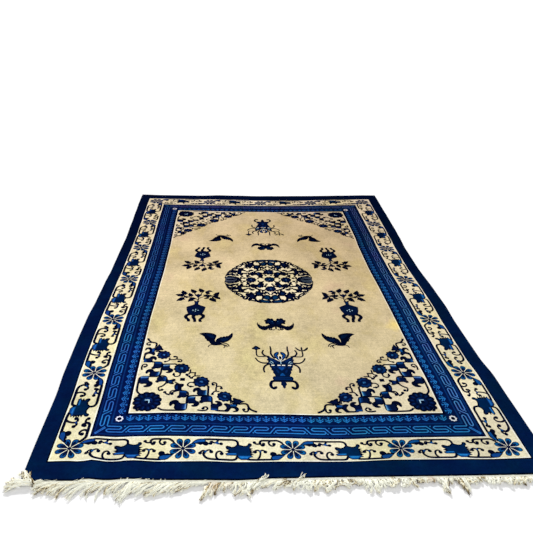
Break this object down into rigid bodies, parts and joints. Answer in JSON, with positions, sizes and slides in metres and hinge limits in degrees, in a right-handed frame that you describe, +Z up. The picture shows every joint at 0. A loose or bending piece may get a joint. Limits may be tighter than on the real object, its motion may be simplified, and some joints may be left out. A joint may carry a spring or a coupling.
{
  "type": "knotted pile rug with fringe",
  "caption": "Rectangular knotted wool pile rug lying flat, with a bordered blue and cream floral pattern and a fringe of loose cotton warp ends along one short end.",
  "frame": {"origin": "middle of the rug's underside, on the floor", "axes": "+Z up, +Y along the rug's length away from the fringed end, +X across its width"},
  "size_m": [1.8895, 2.8788, 0.011],
  "materials": {
    "wool": "matte",
    "cotton": "matte"
  },
  "bodies": {
    "root": {"pile": "wool", "fringe_near": "cotton"}
  },
  "joints": []
}
